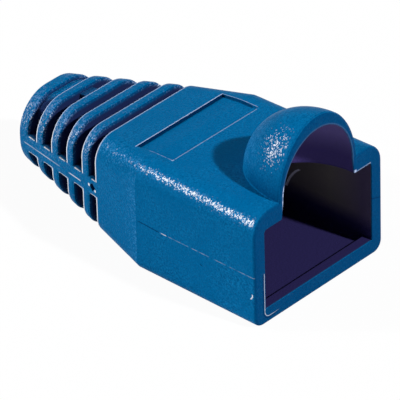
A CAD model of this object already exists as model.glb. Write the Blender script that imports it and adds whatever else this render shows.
import bpy
import math
from mathutils import Matrix, Vector


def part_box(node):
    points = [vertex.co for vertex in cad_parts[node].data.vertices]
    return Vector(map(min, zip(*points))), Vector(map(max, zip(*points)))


# RJ45 strain relief boot, one soft PVC moulding. The solid comes from the frame as it is; this
# script adds its material, the floor, the lamps and the camera.
# Masks are drawn in millimetres: x across the width, y from the plug mouth toward the tail,
# z up from the flat underside. "side" is x without its sign.

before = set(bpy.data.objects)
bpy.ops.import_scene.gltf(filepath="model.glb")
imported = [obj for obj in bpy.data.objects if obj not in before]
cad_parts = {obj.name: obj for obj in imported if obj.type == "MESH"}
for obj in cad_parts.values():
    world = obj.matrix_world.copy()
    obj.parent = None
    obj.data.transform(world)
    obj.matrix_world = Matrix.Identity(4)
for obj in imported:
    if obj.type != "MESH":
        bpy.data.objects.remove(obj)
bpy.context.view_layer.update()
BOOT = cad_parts["boot"]
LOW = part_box("boot")[0]
MOUTH_Y = LOW[1]
MM = 0.001
SCENE = bpy.context.scene
SCENE.view_settings.view_transform = "Standard"

# ---- camera values ---------------------------------------------------------------------
CAMERA_AZIMUTH = -46.803
CAMERA_ELEVATION = 33.376
CAMERA_ROLL = -1.604
CAMERA_TARGET = (0.0, 0.645, 5.0)
CAMERA_RIGHT = 1.717
CAMERA_UP = -2.657
CAMERA_BACK = 394.017
SENSOR_WIDTH = 36.0
FOCAL_PIXELS = 5319.0
IMAGE_PIXELS = 400.0
CLIP_START = 0.01
CLIP_END = 10.0

# ---- sizes of the moulding -------------------------------------------------------------
# y, half width, roof height, foot height, upper edge radius, lower edge radius
SECTIONS = (
    (0.0, 7.0, 9.6, 0.0, 1.75, 0.9),
    (11.75, 6.925, 9.3, 0.0, 1.65, 0.9),
    (16.8, 5.8, 8.65, 0.28, 1.9, 1.6),
    (26.71, 3.62, 7.21, 0.32, 3.0, 3.35),
)
SHOULDER_Y = SECTIONS[1][0]
ROOT_Y = SECTIONS[2][0]
END_Y = SECTIONS[3][0]
ROOF_Z = SECTIONS[0][2]
TAPER = (SHOULDER_Y, 16.75)
TAIL_START = (16.85, 16.9)
# half width, length, rise and base height of an ellipsoid on the mouth plane
HOOD_WALL = (4.28, 6.25, 5.83, 9.14)
HOOD_OPENING = (3.8, 1.0, 4.3, 9.6)
# slots: the second one's row starts at ROW_START, and the rows repeat at the rib pitch
ROW_START = 18.14
RIB_PITCH = 1.99
LATER_SLOTS = (18.5, 25.6)
SPINE_MIDDLE = ((ROOT_Y, 4.465), (END_Y, 3.765))
SPINE_RIDGE = ((ROOT_Y, 4.30), (END_Y, 3.72))
PARTING_Z = ((0.0, 4.47), (9.5, 4.43), (11.5, 4.52), (SHOULDER_Y, 4.53))
# webs left over the cable in the last slots
WEB_Y = (24.45, 25.7)
SCRAP_Y = (22.45, 23.7)
SCRAP_X = (-0.15, 1.25)
SCRAP_SHARE = 0.45
# label panel
PANEL_Y = (9.8, 13.75)
PANEL_FLOOR_Z = 8.6
PANEL_FAR_Y = 13.60
PANEL_NEAR_Y = 9.93
PANEL_RIGHT_X = 4.73
PANEL_LEFT_X = -4.70

# ---- grain -----------------------------------------------------------------------------
GRAIN_SCALE = 6500.0
PIT_SCALE = 2600.0
PIT_SHARE = 0.35
BROAD_SCALE = 420.0
CELL_SCALE = 11000.0
BUMP_HEIGHT = 0.00004
BUMP_STRENGTH = 0.8
EDGE_SOFTNESS = 0.00008
ROUGHNESS = 0.32
SPECULAR_LEVEL = 0.006
SPECULAR_TINT = (0.8, 0.9, 1.0, 1.0)

# ---- colours ---------------------------------------------------------------------------
BLUE_LOW = (0.0, 0.086, 0.235, 1)
BLUE_HIGH = (0.003, 0.166, 0.395, 1)
BLUE_BROAD = (0.0, 0.118, 0.304, 1)
BLUE_BRIGHT_CELL = (0.002, 0.190, 0.450, 1)
BLUE_DARK_CELL = (0.0, 0.050, 0.150, 1)
BLUE_SHADE = (0.0, 0.022, 0.092, 1)
BLUE_LINE = (0.0, 0.02, 0.08, 1)
HAZE_BODY = (0.05, 0.29, 0.62, 1)
HAZE_TAIL = (0.19, 0.33, 0.62, 1)
FLASH_SIDE = (0.80, 0.83, 0.88, 1)
FLASH_TOP = (0.45, 0.55, 0.78, 1)
GLINT = (0.86, 0.91, 1.0, 1)
CAVITY = (0.024, 0.020, 0.084, 1)
HOOD_LINING_LOW = (0.056, 0.042, 0.165, 1)
HOOD_LINING_HIGH = (0.128, 0.102, 0.285, 1)
WALL_MOUTH = (0.075, 0.060, 0.120, 1)
WALL_DEEP = (0.160, 0.146, 0.138, 1)
SLOT_LINING = (0.012, 0.022, 0.082, 1)
SCORE = (0.92, 0.94, 0.96, 1)
WHITE = (1, 1, 1, 1)

# ---- stage values ----------------------------------------------------------------------
FLOOR_REACH = 3.0
FLOOR_GAP = 0.00002
FLOOR_BOUNCE = (0.75, 0.75, 0.75, 1)
FLOOR_SEEN = (0.93, 0.93, 0.93, 1)
FLOOR_GLOW = 0.95
SKY_FILL = (0.8, 0.82, 1.0, 1)
SKY_STRENGTH = 0.06
# name, direction from the object to the lamp, strength, width in degrees
LAMPS = (
    ("key_front", (0.13, -0.746, 0.653), 3.3, 3.0),
    ("back_left", (-0.574, 0.695, 0.433), 1.6, 4.0),
    ("low_left", (-0.75, 0.65, 0.10), 0.95, 20.0),
    ("back_high", (-0.307, 0.556, 0.767), 0.2, 3.0),
)


# ---- camera ----------------------------------------------------------------------------
def unit(azimuth, elevation):
    """Direction from the object: azimuth 0 is in front of the mouth, -90 on its left."""
    a, e = math.radians(azimuth), math.radians(elevation)
    return Vector((math.sin(a) * math.cos(e), -math.cos(a) * math.cos(e), math.sin(e)))


def make_camera():
    back = unit(CAMERA_AZIMUTH, CAMERA_ELEVATION)
    azimuth = math.radians(CAMERA_AZIMUTH)
    across = Vector((math.cos(azimuth), math.sin(azimuth), 0))
    up = back.cross(across)
    roll = math.radians(CAMERA_ROLL)
    right = math.cos(roll) * across + math.sin(roll) * up
    top = -math.sin(roll) * across + math.cos(roll) * up
    target = Vector(CAMERA_TARGET) * MM
    place = target + (CAMERA_RIGHT * right + CAMERA_UP * top + CAMERA_BACK * back) * MM
    data = bpy.data.cameras.new("camera")
    data.sensor_width = SENSOR_WIDTH
    data.lens = SENSOR_WIDTH * FOCAL_PIXELS / IMAGE_PIXELS
    data.clip_start = CLIP_START
    data.clip_end = CLIP_END
    cam = bpy.data.objects.new("camera", data)
    SCENE.collection.objects.link(cam)
    turn = Matrix((right, top, back)).transposed().to_4x4()
    cam.matrix_world = Matrix.Translation(place) @ turn
    SCENE.camera = cam


# ---- node helper -----------------------------------------------------------------------
class Tree:
    """Short calls for building a node tree. A mask is 1 where it holds and 0 elsewhere."""

    def __init__(self, tree):
        self.tree = tree
        tree.nodes.clear()

    def node(self, kind, inputs=None, **settings):
        made = self.tree.nodes.new("ShaderNode" + kind)
        for key, value in settings.items():
            setattr(made, key, value)
        for key, value in (inputs or {}).items():
            self.put(made.inputs[key], value)
        return made

    def put(self, socket, value):
        if isinstance(value, bpy.types.NodeSocket):
            self.tree.links.new(value, socket)
        else:
            socket.default_value = value

    def math(self, op, a, b=0.0, c=0.0):
        return self.node("Math", {0: a, 1: b, 2: c}, operation=op).outputs[0]

    def ramp(self, value, a, b, to_a=0.0, to_b=1.0, smooth=False):
        """to_a up to a, to_b from b on, and between them a straight or smooth run."""
        kind = "SMOOTHSTEP" if smooth else "LINEAR"
        sockets = {0: value, 1: a, 2: b, 3: to_a, 4: to_b}
        return self.node("MapRange", sockets, interpolation_type=kind).outputs[0]

    def fall(self, value, a, b):
        """1 up to a, falling to 0 at b."""
        return self.ramp(value, a, b, 1.0, 0.0)

    def path(self, value, *points):
        """Straight runs between (value, result) points."""
        total = points[0][1]
        for (a, to_a), (b, to_b) in zip(points, points[1:]):
            if to_a != to_b:
                total = self.math("ADD", self.ramp(value, a, b, 0.0, to_b - to_a), total)
        return total

    def away(self, value, centre):
        """Distance of the value from the centre, without its sign."""
        return self.math("ABSOLUTE", self.math("SUBTRACT", value, centre))

    def band(self, value, centre, half, soft):
        """1 within half of the centre, fading to 0 over the soft width beyond it."""
        return self.fall(self.away(value, centre), half, half + soft)

    def span(self, value, start, end, soft):
        """1 from start to end, fading to 0 over the soft width outside them."""
        return self.all(self.ramp(value, start - soft, start), self.fall(value, end, end + soft))

    def length(self, u, v):
        """Length of the flat vector (u, v)."""
        return self.math("SQRT", self.math("MULTIPLY_ADD", u, u, self.math("MULTIPLY", v, v)))

    def all(self, *masks):
        """Product of masks and plain factors."""
        total = masks[0]
        for mask in masks[1:]:
            total = self.math("MULTIPLY", total, mask)
        return total

    def any(self, *masks):
        """Largest of masks and plain values."""
        total = masks[0]
        for mask in masks[1:]:
            total = self.math("MAXIMUM", total, mask)
        return total

    def flip(self, mask):
        return self.math("SUBTRACT", 1.0, mask)

    def beat(self, value, scale):
        """Slow noise along one coordinate, to break up a line."""
        sockets = {"W": value, "Scale": scale, "Detail": 1.0}
        return self.node("TexNoise", sockets, noise_dimensions="1D").outputs["Fac"]

    def noise(self, place, scale, roughness):
        sockets = {"Vector": place, "Scale": scale, "Detail": 2.0, "Roughness": roughness}
        return self.node("TexNoise", sockets).outputs["Fac"]

    def mix(self, factor, a, b):
        made = self.node("Mix", data_type="RGBA", clamp_factor=True)
        self.put(made.inputs[0], factor)
        self.put(made.inputs[6], a)
        self.put(made.inputs[7], b)
        return made.outputs[2]

    def coats(self, colour, *layers):
        """The colour with each (amount, shade) layer mixed over the ones before it."""
        for amount, shade in layers:
            colour = self.mix(amount, colour, shade)
        return colour

    def seen(self):
        """1 for the rays that show the white background: seen directly, in gloss or through glass."""
        rays = self.node("LightPath").outputs
        return self.any(rays["Is Camera Ray"], rays["Is Glossy Ray"], rays["Is Transmission Ray"])


# ---- moulded PVC -----------------------------------------------------------------------
def skin_depth(t, side, y, z):
    """Depth under the body's outer skin, and the angle in degrees round its upper edge."""
    half, roof, foot, top_radius, foot_radius = (
        t.path(y, *((row[0], row[column]) for row in SECTIONS)) for column in range(1, 6)
    )
    from_side = t.math("SUBTRACT", half, side)
    across = t.math("SUBTRACT", top_radius, from_side)
    upward = t.math("ADD", t.math("SUBTRACT", z, roof), top_radius)
    turn = t.math("DEGREES", t.math("ARCTAN2", upward, across))
    depths = []
    for radius, from_face in (
        (top_radius, t.math("SUBTRACT", roof, z)),
        (foot_radius, t.math("SUBTRACT", z, foot)),
    ):
        u = t.math("MAXIMUM", t.math("SUBTRACT", radius, from_side), 0.0)
        v = t.math("MAXIMUM", t.math("SUBTRACT", radius, from_face), 0.0)
        depths.append(t.math("SUBTRACT", radius, t.length(u, v)))
    return t.math("MINIMUM", depths[0], depths[1]), turn


def on_skin(t, depth):
    """The outermost skin of the body."""
    return t.fall(depth, 0.03, 0.10)


def oval(t, x, y, z, shape):
    """1 on an ellipsoid that stands on the mouth plane, less than 1 inside it."""
    half_width, length, rise, base = shape
    total = 0.0
    for value, size in ((x, half_width), (y, length), (t.math("SUBTRACT", z, base), rise)):
        scaled = t.math("DIVIDE", value, size)
        total = t.math("MULTIPLY_ADD", scaled, scaled, total)
    return t.math("SQRT", total)


def inside_mask(t, x, y, z, depth, facing):
    """Walls of the cavity, hood and slots. The webs over the cable and the panel stay blue."""
    under = t.ramp(depth, 0.10, 0.45, smooth=True)
    in_hood = t.fall(oval(t, x, y, z, HOOD_WALL), 0.90, 0.965)
    outward = t.fall(t.math("ABSOLUTE", facing), 0.35, 0.6)
    web = t.all(t.span(y, *WEB_Y, 0.02), t.ramp(x, -2.0, -1.2))
    scrap = t.all(t.span(y, *SCRAP_Y, 0.02), t.span(x, *SCRAP_X, 0.05), SCRAP_SHARE)
    webs = t.all(t.any(web, scrap), outward, t.fall(depth, 0.5, 0.6), t.ramp(z, 3.9, 4.1))
    panel = t.all(t.span(y, *PANEL_Y, 0.05), t.ramp(z, PANEL_FLOOR_Z, PANEL_FLOOR_Z + 0.1))
    under = t.all(under, t.flip(t.any(webs, panel)))
    return t.all(t.any(under, in_hood), t.ramp(y, 0.02, 0.16), t.fall(y, 26.60, 26.68))


def flash_mask(t, y, z, depth, turn):
    """Pale moulding flash along the slot edges that face the tail, and on the slots' ends."""
    skin = on_skin(t, depth)
    row = t.math("DIVIDE", t.math("SUBTRACT", y, ROW_START), RIB_PITCH)
    in_row = t.all(t.math("FRACT", row), RIB_PITCH)
    rise = t.math("SUBTRACT", z, t.path(y, *SPINE_MIDDLE))

    ribs = t.all(t.band(in_row, 0.355, 0.04, 0.03), t.span(y, 18.3, 25.0, 0.05))
    body = t.band(y, 16.755, 0.045, 0.03)
    beside_spine = t.ramp(t.math("ABSOLUTE", rise), 0.62, 0.72)
    fade_round = t.path(turn, (20.0, 1.0), (75.0, 0.6))
    edges = t.all(t.any(ribs, body), skin, beside_spine, fade_round)

    def slot_ends(across, first, height, half):
        """Line at one height in every slot: the later ones by row, the first one by y."""
        later = t.all(t.span(in_row, *across, 0.04), t.span(y, *LATER_SLOTS, 0.05))
        return t.all(t.any(later, t.span(y, *first, 0.04)), skin, t.band(rise, height, half, 0.03))

    sills = slot_ends((0.66, 1.36), (16.9, 17.3), 0.69, 0.035)
    heads = slot_ends((0.42, 1.48), (16.85, 17.5), -0.68, 0.03)
    return t.any(edges, t.all(sills, 0.85), t.all(heads, 0.6))


def panel_masks(t, x, y, z, side):
    """Bright brink round the label panel, and the dark foot of its far and right steps."""
    far = t.all(t.band(y, PANEL_FAR_Y, 0.03, 0.03), t.fall(side, 4.72, 4.78))
    near = t.all(t.band(y, PANEL_NEAR_Y, 0.02, 0.03), t.fall(side, 4.4, 4.5))
    right = t.all(t.band(x, PANEL_RIGHT_X, 0.015, 0.02), t.span(y, 10.1, 13.6, 0.05))
    broken = t.ramp(t.beat(y, 2.7), 0.40, 0.55, 0.1, 1.0)
    left = t.all(t.band(x, PANEL_LEFT_X, 0.02, 0.03), t.span(y, 10.1, 12.2, 0.2), broken)
    dot = t.all(t.band(x, -4.66, 0.09, 0.04), t.band(y, 9.98, 0.07, 0.04))
    brink = t.any(far, t.all(near, 0.55), t.all(right, 0.75), t.all(left, 0.4), t.all(dot, 0.8))
    foot = t.any(
        t.all(t.span(y, 13.40, 13.555, 0.03), t.fall(side, 4.66, 4.68)),
        t.all(t.span(x, 4.56, 4.665, 0.03), t.span(y, 10.6, 13.5, 0.1), 0.6),
    )
    on_roof = t.all(t.ramp(z, PANEL_FLOOR_Z, 8.8), t.fall(z, 9.65, 9.7))
    return t.all(brink, on_roof), t.all(foot, on_roof)


def parting_masks(t, x, y, z, depth, plane):
    """Parting line along the sides, dark by the shoulder and faint dashes beyond, with its
    small nicks; and the ridge along the spines."""
    skin = t.all(on_skin(t, depth), t.ramp(t.math("ABSOLUTE", x), 3.0, 3.2))
    line_z = t.path(y, *PARTING_Z)
    dark = t.all(t.band(z, line_z, 0.03, 0.03), skin, t.span(y, 9.6, 11.4, 0.3))
    faint = t.all(t.ramp(t.beat(y, 1.3), 0.40, 0.60), 0.22)
    strokes = t.any(faint, t.all(t.span(y, 8.75, 9.15, 0.1), 0.8))
    dashes = t.all(t.band(z, line_z, 0.018, 0.03), skin, t.fall(y, 9.2, 9.4), strokes)

    ridge = t.band(t.math("SUBTRACT", z, t.path(y, *SPINE_RIDGE)), 0.0, 0.025, 0.04)
    runs = t.path(
        y, (18.7, 0.0), (18.9, 1.0), (20.1, 1.0), (20.4, 0.0), (21.4, 0.0), (21.7, 0.45),
        (22.6, 0.45), (22.9, 0.8), (24.1, 0.7), (24.5, 0.45), (26.0, 0.6), (26.3, 0.0),
    )
    spine = t.all(ridge, skin, runs)

    left_face = t.fall(x, -6.95, -6.9)
    slant = t.math("MULTIPLY_ADD", y, -0.4, z)
    nick = t.all(left_face, t.span(y, 5.16, 5.38, 0.03), t.band(slant, 1.28, 0.03, 0.03))
    bow = t.length(t.math("SUBTRACT", y, 0.62), t.math("SUBTRACT", z, 2.9))
    curl = t.all(left_face, t.band(bow, 0.36, 0.03, 0.03), t.fall(y, 0.4, 0.5), t.fall(z, 2.95, 3.05))
    slope = t.math("MULTIPLY_ADD", x, 0.3, z)
    cut = t.all(plane, t.ramp(x, 5.85, 5.9), t.band(slope, 6.69, 0.03, 0.03))
    by_the_pit = t.any(
        t.all(t.band(y, 17.70, 0.07, 0.05), t.band(z, 4.44, 0.08, 0.05)),
        t.all(t.band(y, 16.92, 0.06, 0.05), t.band(z, 4.24, 0.08, 0.05)),
    )
    return t.any(dark, nick, cut), t.any(dashes, curl, t.all(by_the_pit, skin)), spine


def mouth_masks(t, x, z, side, plane):
    """Bright brinks of the mouth: the lower left corner with the groove beside it, the hood's
    opening and the roof next to it."""
    u = t.math("MAXIMUM", t.math("SUBTRACT", t.all(x, -1.0), 5.45), 0.0)
    v = t.math("MAXIMUM", t.math("SUBTRACT", 1.1, z), 0.0)
    reach = t.length(u, v)
    near = t.all(plane, t.fall(z, 4.35, 4.45), t.fall(x, -5.2, -4.4))
    corner = t.all(near, t.band(reach, 0.53, 0.015, 0.03))
    groove = t.all(near, t.band(reach, 0.66, 0.05, 0.05))
    arch = t.all(t.fall(oval(t, x, 0.0, z, HOOD_OPENING), 1.015, 1.032), t.ramp(z, 9.5, ROOF_Z))
    legs = t.all(t.fall(side, 3.86, 3.92), t.span(z, 8.2, ROOF_Z, 0.05))
    broken = t.ramp(t.beat(z, 2.3), 0.42, 0.5, 0.35, 1.0)
    left = t.all(t.fall(x, -3.2, -3.0), t.fall(z, 10.6, 10.9), broken)
    rim = t.all(plane, t.any(arch, legs), t.any(0.07, left))
    roof = t.all(plane, t.span(x, 4.1, 5.75, 0.05), t.band(z, 8.15, 0.035, 0.03))
    dot = t.all(plane, t.band(x, 4.08, 0.09, 0.05), t.band(z, 8.24, 0.09, 0.05))
    return t.any(t.all(corner, 0.5), rim, t.all(roof, 0.4), t.all(dot, 0.9)), groove


def grain_zones(t, y, z, side, turn):
    """How much of the raised grain is rubbed: bright sparks along the long edges, on the
    hood's flanks and the ribs, and a paler frost round them."""
    on_tail = t.ramp(y, *TAIL_START)
    on_taper = t.span(y, *TAPER, 0.05)
    below_roof = t.fall(z, ROOF_Z, ROOF_Z + 0.1)
    off = t.away(turn, t.path(y, (0.3, 36.0), (10.6, 48.0), (ROOT_Y, 50.0)))

    core = t.path(off, (2.0, 1.0), (8.0, 0.42), (12.0, 0.10), (24.0, 0.0))
    run = t.path(
        y, (0.15, 0.0), (0.4, 0.62), (9.8, 0.58), (11.2, 0.30), (12.5, 0.18), (16.7, 0.12),
        (16.85, 0.0),
    )
    edge = t.all(core, run, below_roof)
    apart = 0.0
    for value, centre, size in ((side, 3.0, 1.25), (y, 1.55, 1.25), (z, 13.2, 1.45)):
        offset = t.math("DIVIDE", t.math("SUBTRACT", value, centre), size)
        apart = t.math("MULTIPLY_ADD", offset, offset, apart)
    patch = t.path(apart, (0.0, 0.46), (0.4, 0.26), (1.2, 0.10), (2.6, 0.0))
    flank = t.all(patch, t.ramp(z, 9.8, 10.2), t.ramp(y, 0.25, 0.45))
    ribs = t.all(t.path(turn, (5.0, 0.0), (25.0, 0.18), (48.0, 0.18), (70.0, 0.01)), on_tail)
    spark = t.any(edge, flank, ribs, 0.004)

    taper_run = t.path(y, (SHOULDER_Y, 0.45), (13.4, 0.14), (16.7, 0.18))
    taper = t.all(on_taper, taper_run, t.ramp(turn, 40.0, 80.0, 1.0, 0.3))
    taper_edge = t.all(on_taper, t.path(off, (0.0, 0.7), (30.0, 0.1), (50.0, 0.0)))
    beside = t.path(off, (4.0, 0.75), (12.0, 0.25), (22.0, 0.0))
    body_edge = t.all(t.span(y, 0.3, SHOULDER_Y, 0.1), beside, below_roof)
    crown_run = t.path(y, (0.5, 0.05), (2.6, 0.12), (3.6, 0.35), (5.2, 0.55))
    crown = t.all(t.ramp(z, 9.9, 10.8), crown_run)
    round_rib = t.path(turn, (-40.0, 0.15), (10.0, 0.4), (60.0, 0.55), (95.0, 0.18))
    frost = t.any(taper, taper_edge, body_edge, crown, t.all(round_rib, on_tail), 0.05)
    return spark, frost


def lining_colour(t, x, y, z, side):
    """Purple cavity, paler in the hood and grey on the walls, navy slots and a pale score."""
    hood = t.all(t.ramp(z, 7.9, 8.3), t.fall(y, 6.3, 6.6))
    hood_shade = t.mix(t.ramp(z, 9.4, 11.4), HOOD_LINING_LOW, HOOD_LINING_HIGH)
    walls = t.all(t.any(t.ramp(side, 5.0, 5.6), t.ramp(y, 9.6, 10.2)), t.ramp(z, 2.0, 3.2))
    wall_shade = t.mix(t.ramp(y, 1.0, 4.0), WALL_MOUTH, WALL_DEEP)
    slots = t.ramp(y, 16.0, ROOT_Y)
    bow = t.path(
        z, (2.58, 8.41), (3.0, 8.25), (3.44, 8.04), (3.88, 7.74), (4.23, 7.43), (4.51, 7.08)
    )
    score = t.all(t.fall(t.away(y, bow), 0.08, 0.15), t.span(z, 2.6, 4.45, 0.1), t.ramp(x, 5.7, 5.8))
    return t.coats(
        CAVITY, (hood, hood_shade), (walls, wall_shade), (slots, SLOT_LINING), (score, SCORE)
    )


def boot_material():
    mat = bpy.data.materials.new("boot_pvc")
    mat.use_nodes = True
    t = Tree(mat.node_tree)
    coords = t.node("TexCoord")
    place = coords.outputs["Object"]
    split = t.node("SeparateXYZ", {0: place})
    x = t.math("MULTIPLY", split.outputs[0], 1 / MM)
    y = t.math("MULTIPLY_ADD", split.outputs[1], 1 / MM, -MOUTH_Y / MM)
    z = t.math("MULTIPLY", split.outputs[2], 1 / MM)
    side = t.math("ABSOLUTE", x)
    facing = t.node("SeparateXYZ", {0: coords.outputs["Normal"]}).outputs[1]
    front = t.ramp(t.all(facing, -1.0), 0.15, 0.85)
    plane = t.fall(y, 0.06, 0.12)

    depth, turn = skin_depth(t, side, y, z)
    inside = inside_mask(t, x, y, z, depth, facing)
    flash = flash_mask(t, y, z, depth, turn)
    brink, foot = panel_masks(t, x, y, z, side)
    dark_line, dashes, spine = parting_masks(t, x, y, z, depth, plane)
    rim, groove = mouth_masks(t, x, z, side, plane)
    spark, frost = grain_zones(t, y, z, side, turn)

    # fine spark grain: noise for the relief and the mottle, cells for the single grains
    grain = t.noise(place, GRAIN_SCALE, 0.55)
    pits = t.noise(place, PIT_SCALE, 0.6)
    broad = t.noise(place, BROAD_SCALE, 0.5)
    height = t.math("MULTIPLY_ADD", pits, PIT_SHARE, grain)
    sockets = {"Vector": place, "Scale": CELL_SCALE, "Randomness": 1.0}
    cells = t.node("TexVoronoi", sockets, feature="F1")
    chance = t.node("SeparateColor", {0: cells.outputs["Color"]}).outputs
    glints = t.ramp(t.math("ADD", chance[0], spark), 1.0, 1.28)
    hazes = t.ramp(t.math("ADD", chance[1], frost), 1.0, 1.45)

    # colour
    haze = t.mix(t.ramp(y, ROOT_Y, ROOT_Y + 0.1), HAZE_BODY, HAZE_TAIL)
    dark = t.any(t.all(dark_line, 0.75), t.all(groove, 0.6), t.all(foot, 0.9))
    hood_foot = t.all(t.ramp(z, 9.62, 9.7), t.fall(z, 9.8, 11.6), t.fall(y, 3.2, 4.6), t.flip(plane))
    pale = t.any(flash, t.all(brink, 0.85), dashes, t.all(spine, 0.7), rim)
    blue = t.coats(
        t.mix(t.ramp(grain, 0.36, 0.64), BLUE_LOW, BLUE_HIGH),
        (t.ramp(broad, 0.35, 0.65), BLUE_BROAD),
        (t.all(chance[2], 0.32), BLUE_BRIGHT_CELL),
        (t.all(chance[0], 0.26), BLUE_DARK_CELL),
        (t.all(front, 0.70), BLUE_SHADE),
        (t.all(hazes, 0.55), haze),
        (dark, BLUE_LINE),
        (t.all(hood_foot, 0.55), BLUE_SHADE),
        (t.all(pale, 0.95), t.mix(t.ramp(turn, 15.0, 60.0), FLASH_SIDE, FLASH_TOP)),
        (t.all(glints, 0.95), GLINT),
    )
    colour = t.mix(inside, blue, lining_colour(t, x, y, z, side))

    relief = {"Strength": BUMP_STRENGTH, "Distance": BUMP_HEIGHT, "Height": height}
    bump = t.node("Bump", relief)
    soft = t.node("Bevel", {"Radius": EDGE_SOFTNESS}, samples=6)
    t.put(bump.inputs["Normal"], soft.outputs[0])
    skin = t.node("BsdfPrincipled", {"Base Color": colour, "Normal": bump.outputs[0]})
    skin.inputs["Roughness"].default_value = ROUGHNESS
    skin.inputs["Specular IOR Level"].default_value = SPECULAR_LEVEL
    skin.inputs["Specular Tint"].default_value = SPECULAR_TINT
    out = t.node("OutputMaterial")
    t.put(out.inputs["Surface"], skin.outputs[0])
    return mat


def dress_boot():
    BOOT.data.materials.clear()
    BOOT.data.materials.append(boot_material())


# ---- stage -----------------------------------------------------------------------------
def make_floor():
    """White floor that keeps the object's shadow."""
    mesh = bpy.data.meshes.new("floor")
    signs = ((-1, -1), (1, -1), (1, 1), (-1, 1))
    corners = [(u * FLOOR_REACH, v * FLOOR_REACH, 0) for u, v in signs]
    mesh.from_pydata(corners, [], [(0, 1, 2, 3)])
    floor = bpy.data.objects.new("floor", mesh)
    floor.location.z = LOW[2] - FLOOR_GAP
    SCENE.collection.objects.link(floor)
    mat = bpy.data.materials.new("floor_white")
    mat.use_nodes = True
    t = Tree(mat.node_tree)
    seen = t.seen()
    matt = t.node("BsdfDiffuse", {"Color": t.mix(seen, FLOOR_BOUNCE, FLOOR_SEEN)})
    glow = t.node("Emission", {"Color": WHITE, "Strength": 1.0})
    both = t.node("MixShader", {0: t.all(seen, FLOOR_GLOW), 1: matt.outputs[0], 2: glow.outputs[0]})
    out = t.node("OutputMaterial")
    t.put(out.inputs["Surface"], both.outputs[0])
    mesh.materials.append(mat)


def make_world():
    """White where it is seen, and a weak cool fill on the object."""
    world = bpy.data.worlds.new("studio")
    SCENE.world = world
    world.use_nodes = True
    t = Tree(world.node_tree)
    fill = t.node("Background", {"Color": SKY_FILL, "Strength": SKY_STRENGTH})
    white = t.node("Background", {"Color": WHITE, "Strength": 1.0})
    both = t.node("MixShader", {0: t.seen(), 1: fill.outputs[0], 2: white.outputs[0]})
    out = t.node("OutputWorld")
    t.put(out.inputs["Surface"], both.outputs[0])


def sun(name, direction, strength, angle):
    """Distant lamp; direction points from the object to the lamp."""
    data = bpy.data.lights.new(name, "SUN")
    data.energy = strength
    data.angle = math.radians(angle)
    lamp = bpy.data.objects.new(name, data)
    SCENE.collection.objects.link(lamp)
    lamp.rotation_mode = "QUATERNION"
    lamp.rotation_quaternion = Vector(direction).to_track_quat("Z", "Y")


make_camera()
make_floor()
make_world()
for lamp_values in LAMPS:
    sun(*lamp_values)
dress_boot()
